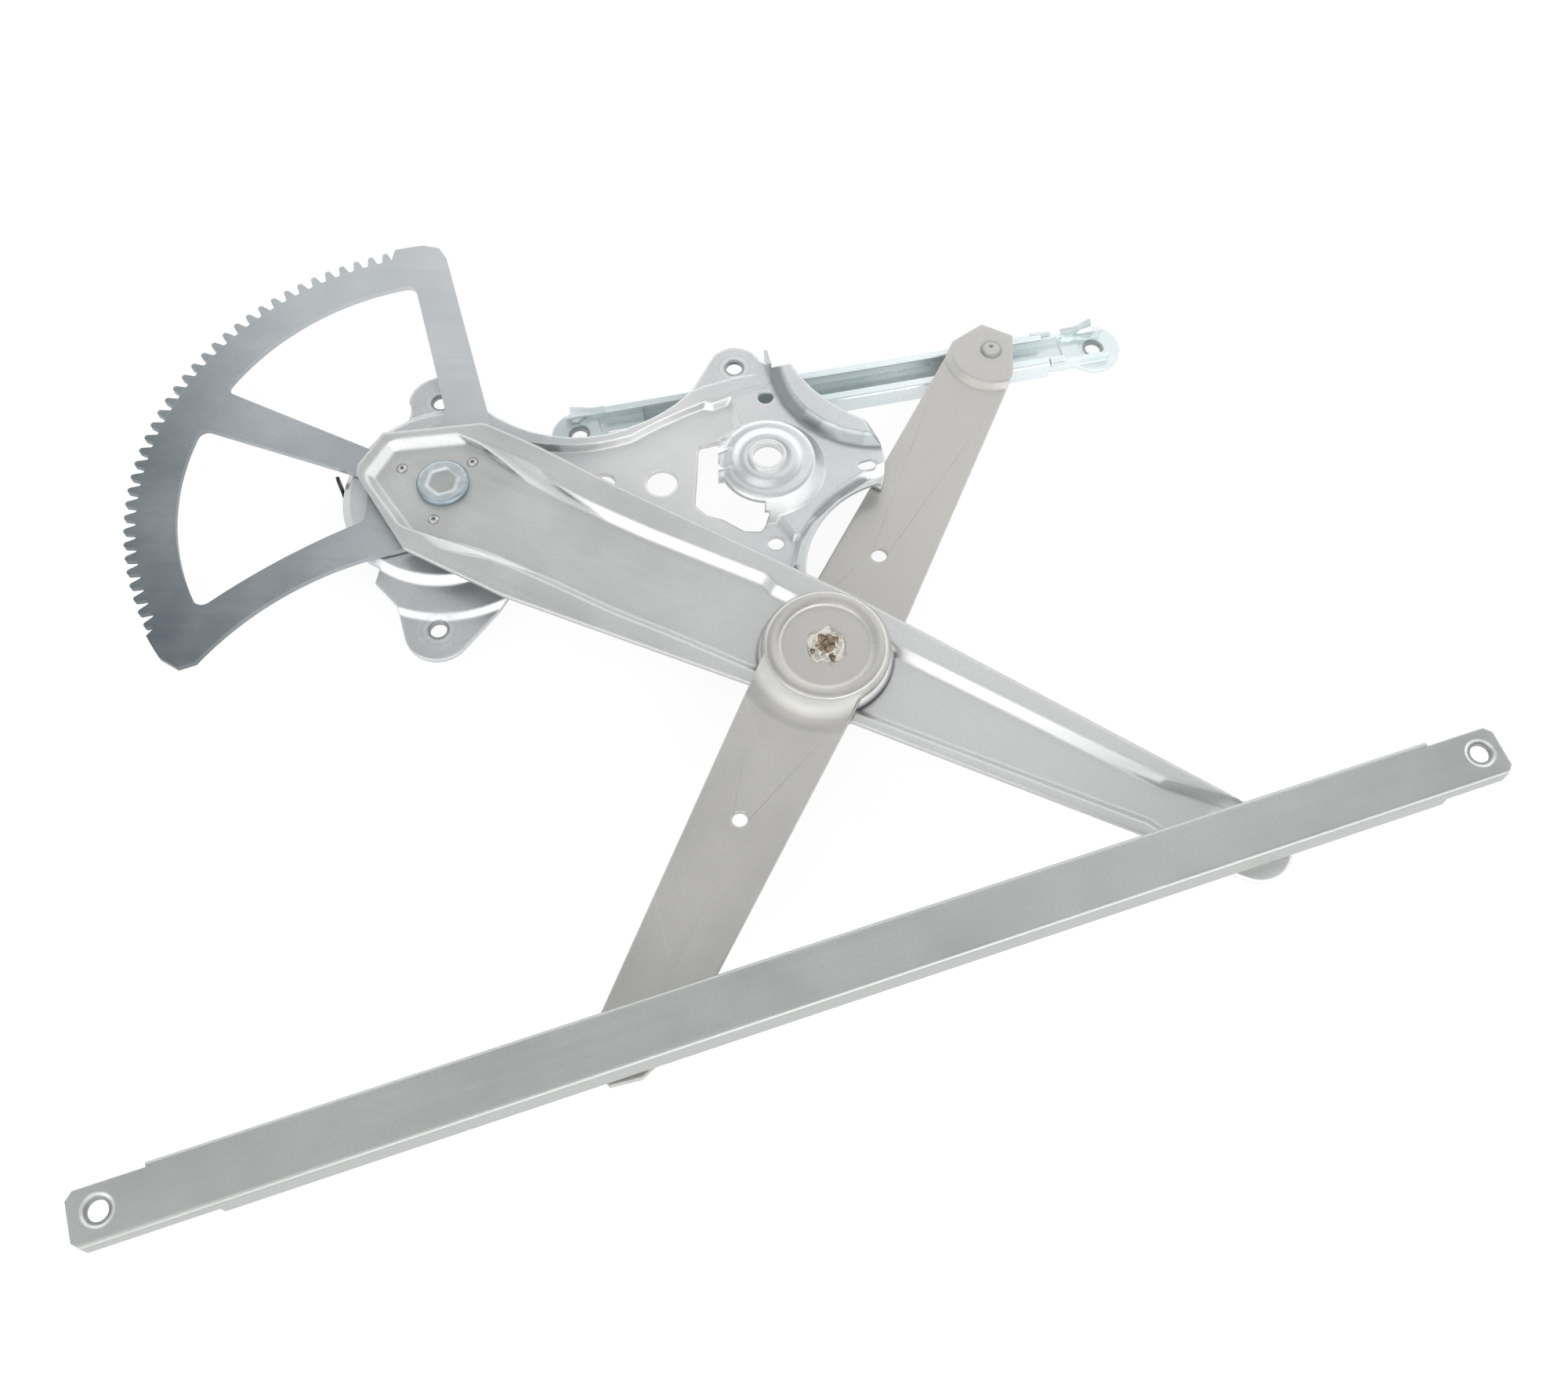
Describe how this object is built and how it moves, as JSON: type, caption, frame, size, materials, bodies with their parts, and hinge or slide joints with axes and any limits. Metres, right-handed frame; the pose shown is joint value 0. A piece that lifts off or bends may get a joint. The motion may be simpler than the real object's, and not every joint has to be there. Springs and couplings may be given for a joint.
{
  "type": "window regulator",
  "caption": "Cross-arm car window regulator with a toothed sector, pressed motor plate, scissor linkage, glass channel and guide rail.",
  "frame": {"origin": "centre of the motor pilot bore in the base plate, at the middle of the plate's thickness", "axes": "+X along the glass channel, +Y from the glass channel towards the main pivot, +Z along every pivot, towards the side the glass channel is on"},
  "size_m": [0.492, 0.3778, 0.0477],
  "materials": {
    "plate_steel": "zinc plated, satin",
    "arm_steel": "zinc plated, satin",
    "sector_steel": "bare cold rolled, blue grey",
    "equalizer_steel": "zinc plated, warm grey",
    "channel_steel": "galvanised, satin",
    "rail_steel": "galvanised, bright",
    "pin_steel": "zinc plated, bright",
    "spring_steel": "oiled, dark",
    "bush_bronze": "sintered",
    "washer_plastic": "moulded",
    "roller_plastic": "moulded"
  },
  "bodies": {
    "base": {"base_plate": "plate_steel", "pivot_bush": "bush_bronze", "thrust_washer": "washer_plastic", "counterbalance_spring": "spring_steel"},
    "lift_arm": {"lift_arm": "arm_steel", "sector_gear": "sector_steel", "sector_rivets": "arm_steel", "main_pivot_pin": "pin_steel", "pivot_retaining_ring": "spring_steel", "lift_roller_stud": "pin_steel"},
    "equalizer": {"centre_pivot_pin": "pin_steel", "centre_upper_washer": "washer_plastic", "centre_lower_washer": "washer_plastic", "lower_equalizer_arm": "equalizer_steel", "upper_equalizer_arm": "equalizer_steel", "lower_roller_stud": "pin_steel", "guide_roller_stud": "pin_steel"},
    "lift_roller": {"lift_roller": "roller_plastic"},
    "lower_roller": {"lower_roller": "roller_plastic"},
    "guide_roller": {"guide_roller": "roller_plastic"},
    "glass_channel": {"glass_channel": "channel_steel"},
    "guide_rail": {"guide_rail": "rail_steel", "guide_rail_bracket_left": "rail_steel", "guide_rail_bracket_right": "rail_steel"}
  },
  "joints": [
    {"name": "lift_arm_pivot", "type": "hinge", "parent": "base", "child": "lift_arm", "pos_m": [-0.12398, 0.02976, -0.0048], "axis": [0, 0, 1], "range_deg": [-204, 0], "deforming": ["counterbalance_spring"]},
    {"name": "scissor_pivot", "type": "hinge", "parent": "lift_arm", "child": "equalizer", "pos_m": [-0.00776, -0.09016, -0.0018], "axis": [0, 0, 1], "range_deg": [-184, 2]},
    {"name": "channel_swivel", "type": "hinge", "parent": "lift_arm", "child": "lift_roller", "pos_m": [0.10846, -0.21009, 0.0142], "axis": [0, 0, 1], "range_deg": [-95, 5]},
    {"name": "channel_slide", "type": "slide", "parent": "lift_roller", "child": "glass_channel", "axis": [1, 0, 0], "range_m": [-0.06, 0.06]},
    {"name": "lower_roller_spin", "type": "hinge", "parent": "equalizer", "child": "lower_roller", "pos_m": [-0.12398, -0.21009, 0.0142], "axis": [0, 0, 1], "continuous": true},
    {"name": "guide_rail_swivel", "type": "hinge", "parent": "equalizer", "child": "guide_roller", "pos_m": [0.10846, 0.02976, -0.0218], "axis": [0, 0, 1], "range_deg": [-90, 90]},
    {"name": "guide_rail_slide", "type": "slide", "parent": "guide_roller", "child": "guide_rail", "axis": [0.9925, -0.1219, 0], "range_m": [0, 0.139]}
  ],
  "couplings": [
    {"joint": "channel_swivel", "follows": "scissor_pivot", "ratio": 0.5}
  ]
}
